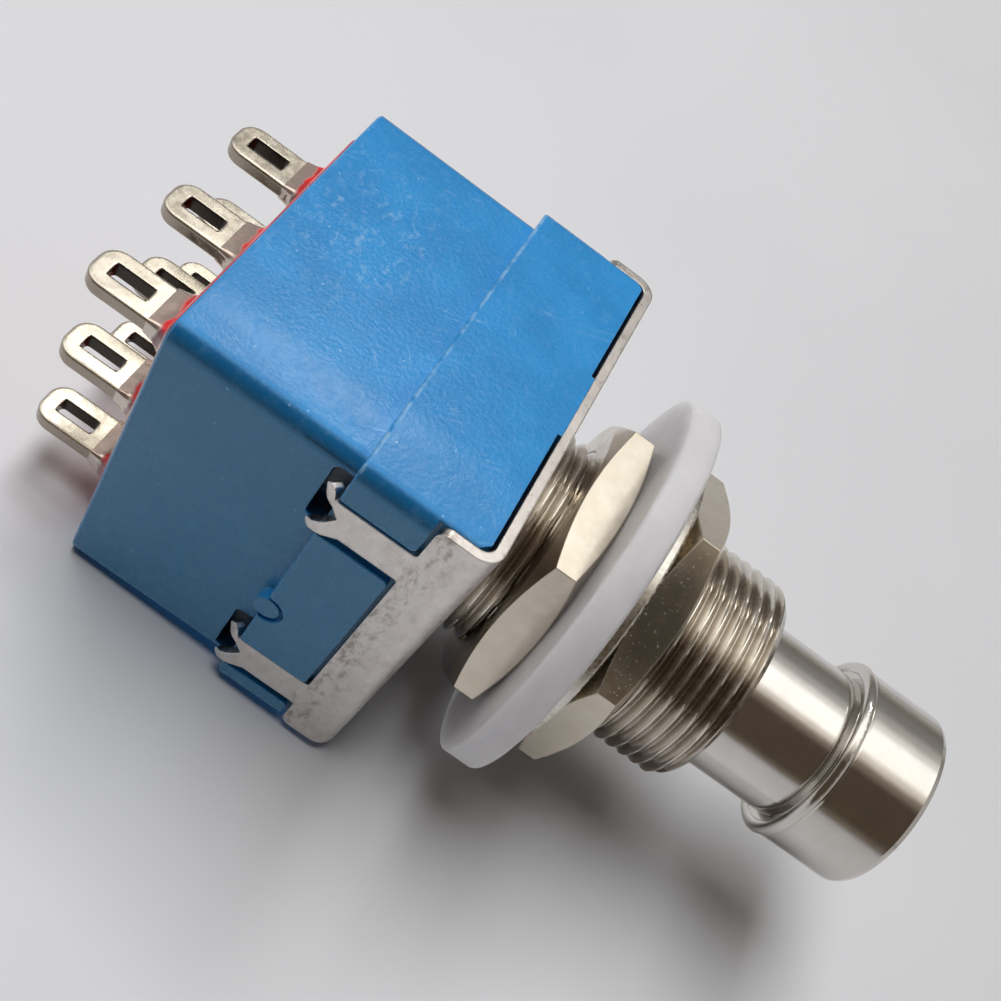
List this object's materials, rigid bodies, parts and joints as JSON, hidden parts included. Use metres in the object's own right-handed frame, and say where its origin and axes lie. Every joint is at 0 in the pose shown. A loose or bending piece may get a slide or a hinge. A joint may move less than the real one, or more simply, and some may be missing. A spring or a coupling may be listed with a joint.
{
  "type": "footswitch",
  "caption": "Stomp footswitch with a boxy moulded body in a folded metal bracket, slotted solder lugs, a threaded bushing with hex nuts and washers, and a round metal push cap.",
  "frame": {"origin": "where the bushing's axis crosses the outer face of the bracket's plate", "axes": "+Z along the bushing towards the button; X from pole to pole, Y along each pole from throw to throw; the bracket's side plates face +X and -X"},
  "size_m": [0.022, 0.022, 0.0475],
  "materials": {
    "blue_plastic": "satin moulded, fine grain",
    "plated_sheet": "nickel plated sheet with stamping marks",
    "board_laminate": "paper laminate",
    "red_resin": "glossy cast resin",
    "guide_plastic": "moulded",
    "plated_thread": "nickel plated, cut thread",
    "plated_nut": "nickel plated, pitted",
    "nylon": "translucent nylon",
    "washer_steel": "bright plated",
    "polished_shaft": "polished nickel plate",
    "polished_cap": "polished nickel plate",
    "spring_wire": "drawn spring wire",
    "clip_steel": "spring steel",
    "pawl_metal": "stamped",
    "pin_steel": "ground",
    "cradle_plastic": "moulded acetal",
    "presser_metal": "turned",
    "contact_copper": "stamped",
    "silver_lug": "silver plated"
  },
  "bodies": {
    "switch_case": {"housing": "blue_plastic", "bracket": "plated_sheet", "terminal_board": "board_laminate", "sealing_resin": "red_resin", "contact_guide": "guide_plastic", "bushing": "plated_thread", "rear_nut": "plated_nut", "panel_washer": "nylon", "lock_washer": "washer_steel", "front_nut": "plated_nut", "return_spring": "spring_wire", "lug_1a": "silver_lug", "lug_1b": "silver_lug", "lug_1c": "silver_lug", "lug_2a": "silver_lug", "lug_2b": "silver_lug", "lug_2c": "silver_lug", "lug_3a": "silver_lug", "lug_3b": "silver_lug", "lug_3c": "silver_lug"},
    "button": {"plunger": "polished_shaft", "button_cap": "polished_cap", "stem_clip": "clip_steel", "pawl_pin": "pin_steel"},
    "pawl_arm": {"pawl": "pawl_metal"},
    "see_saw": {"cradle": "cradle_plastic", "presser_1": "presser_metal", "presser_2": "presser_metal", "presser_3": "presser_metal", "presser_spring_1": "spring_wire", "presser_spring_2": "spring_wire", "presser_spring_3": "spring_wire"},
    "rocker_1": {"contact_1": "contact_copper"},
    "rocker_2": {"contact_2": "contact_copper"},
    "rocker_3": {"contact_3": "contact_copper"}
  },
  "joints": [
    {"name": "button_press", "type": "slide", "parent": "switch_case", "child": "button", "axis": [0, 0, -1], "range_m": [0, 0.003], "stiffness_N_per_m": 1570, "springref_m": -0.003, "deforming": ["return_spring"]},
    {"name": "pawl_swing", "type": "hinge", "parent": "button", "child": "pawl_arm", "pos_m": [0, 0, -0.00245], "axis": [1, 0, 0], "range_deg": [-6, 6]},
    {"name": "cradle_rock", "type": "hinge", "parent": "switch_case", "child": "see_saw", "pos_m": [0, 0, -0.0084], "axis": [1, 0, 0], "range_deg": [-36, 0]},
    {"name": "contact_rock_1", "type": "hinge", "parent": "switch_case", "child": "rocker_1", "pos_m": [-0.00607, 0, -0.0138], "axis": [1, 0, 0], "range_deg": [0, 12]},
    {"name": "contact_rock_2", "type": "hinge", "parent": "switch_case", "child": "rocker_2", "pos_m": [0, 0, -0.0138], "axis": [1, 0, 0], "range_deg": [0, 12]},
    {"name": "contact_rock_3", "type": "hinge", "parent": "switch_case", "child": "rocker_3", "pos_m": [0.00607, 0, -0.0138], "axis": [1, 0, 0], "range_deg": [0, 12]}
  ],
  "couplings": [
    {"joint": "contact_rock_1", "follows": "cradle_rock", "ratio": -0.33333},
    {"joint": "contact_rock_2", "follows": "cradle_rock", "ratio": -0.33333},
    {"joint": "contact_rock_3", "follows": "cradle_rock", "ratio": -0.33333}
  ]
}
